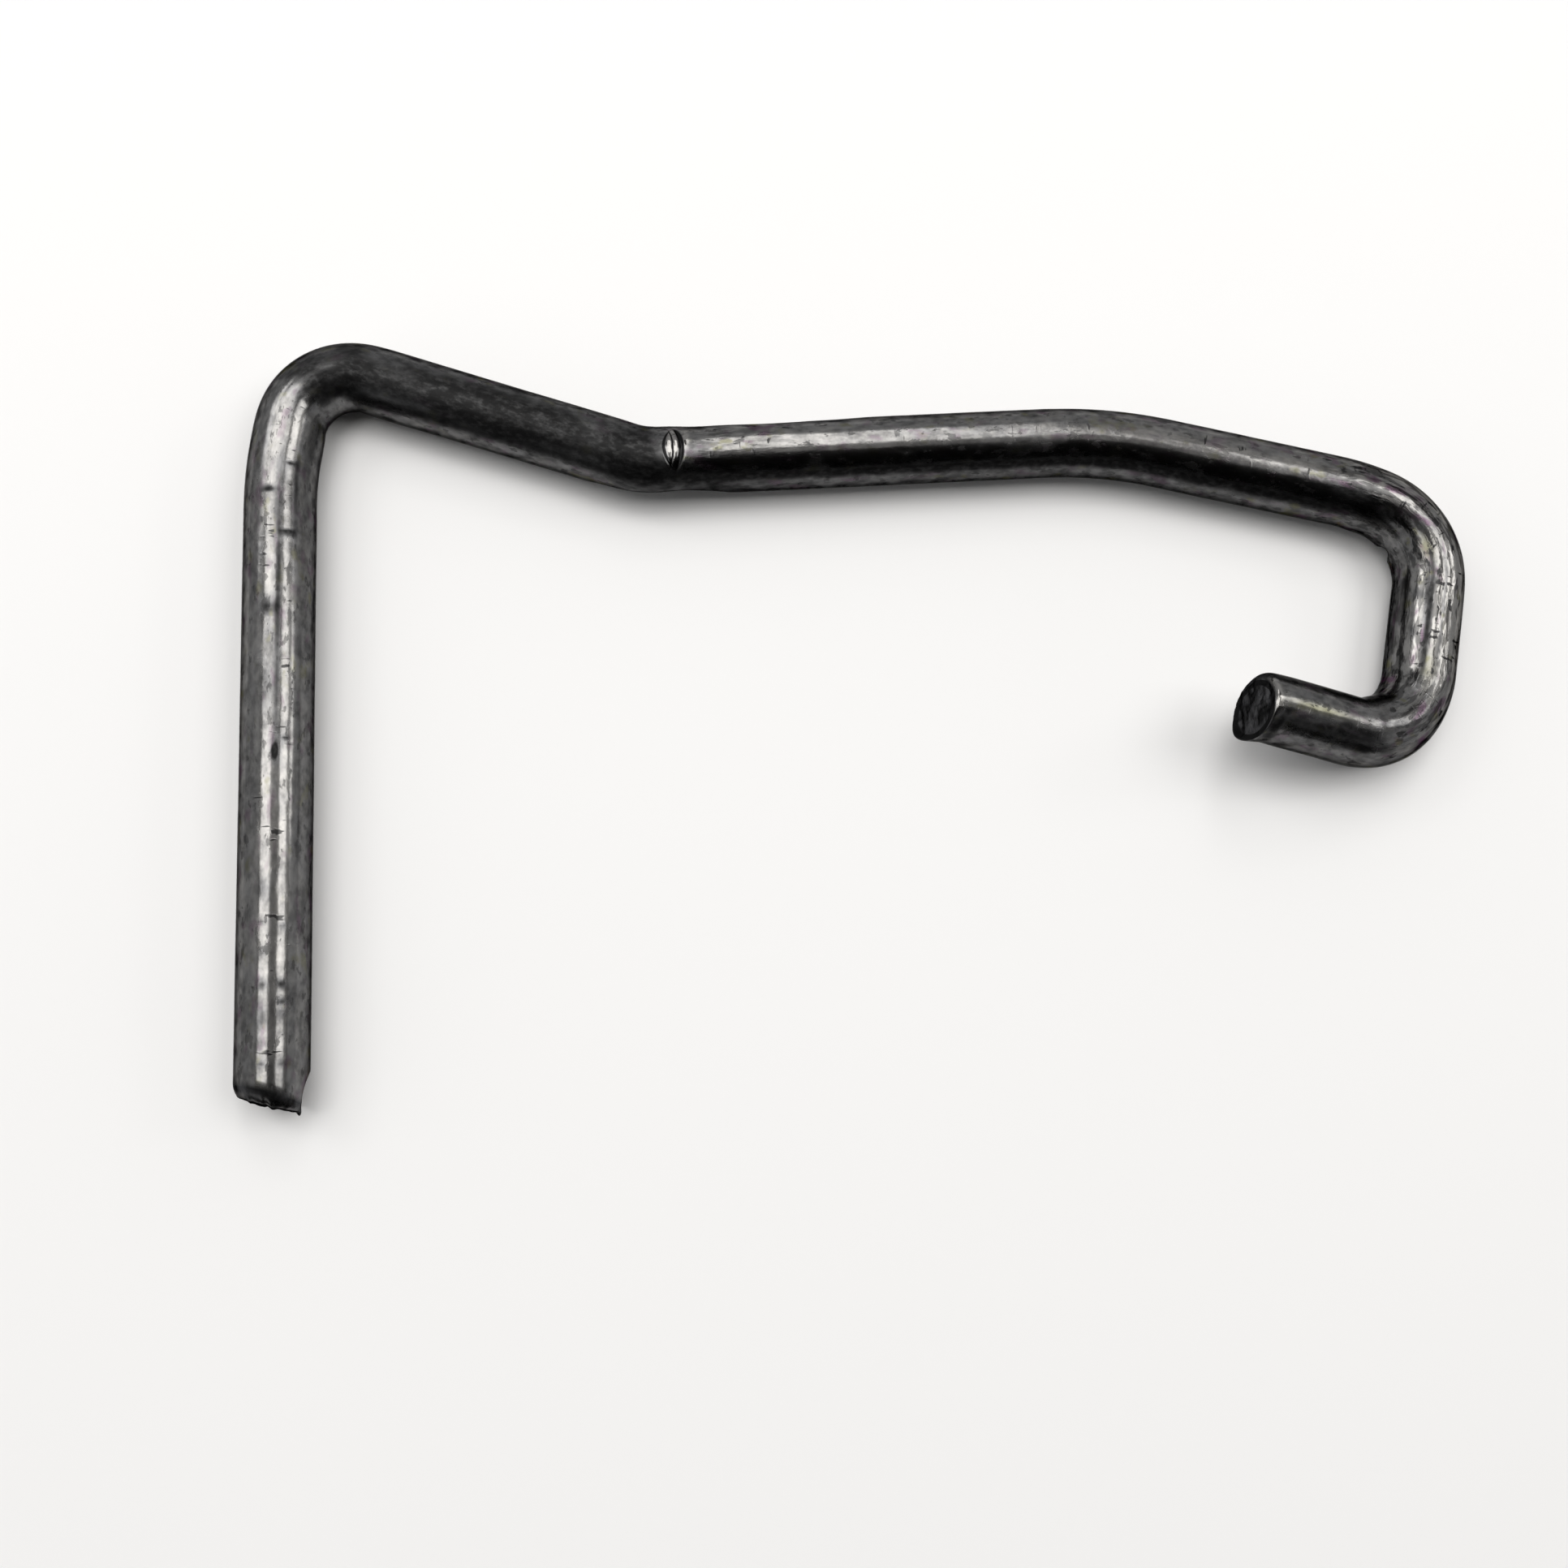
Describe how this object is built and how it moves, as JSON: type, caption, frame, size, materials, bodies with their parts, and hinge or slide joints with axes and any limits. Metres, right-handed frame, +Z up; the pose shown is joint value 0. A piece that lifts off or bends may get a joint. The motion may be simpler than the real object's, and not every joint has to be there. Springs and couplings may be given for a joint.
{
  "type": "choke rod",
  "caption": "Bent steel wire rod with a long straight leg and a hooked tip, which links a choke control to the choke lever of a small engine.",
  "frame": {"origin": "on the surface that the rod lies on, under the middle of the rod's box", "axes": "+Y runs along the long leg from its cut end to the shoulder, +X along the span towards the hook, +Z up from the surface"},
  "size_m": [0.0446, 0.0276, 0.0044],
  "materials": {
    "steel": "dark drawn wire, lightly scratched"
  },
  "bodies": {
    "root": {"choke_rod": "steel"}
  },
  "joints": []
}
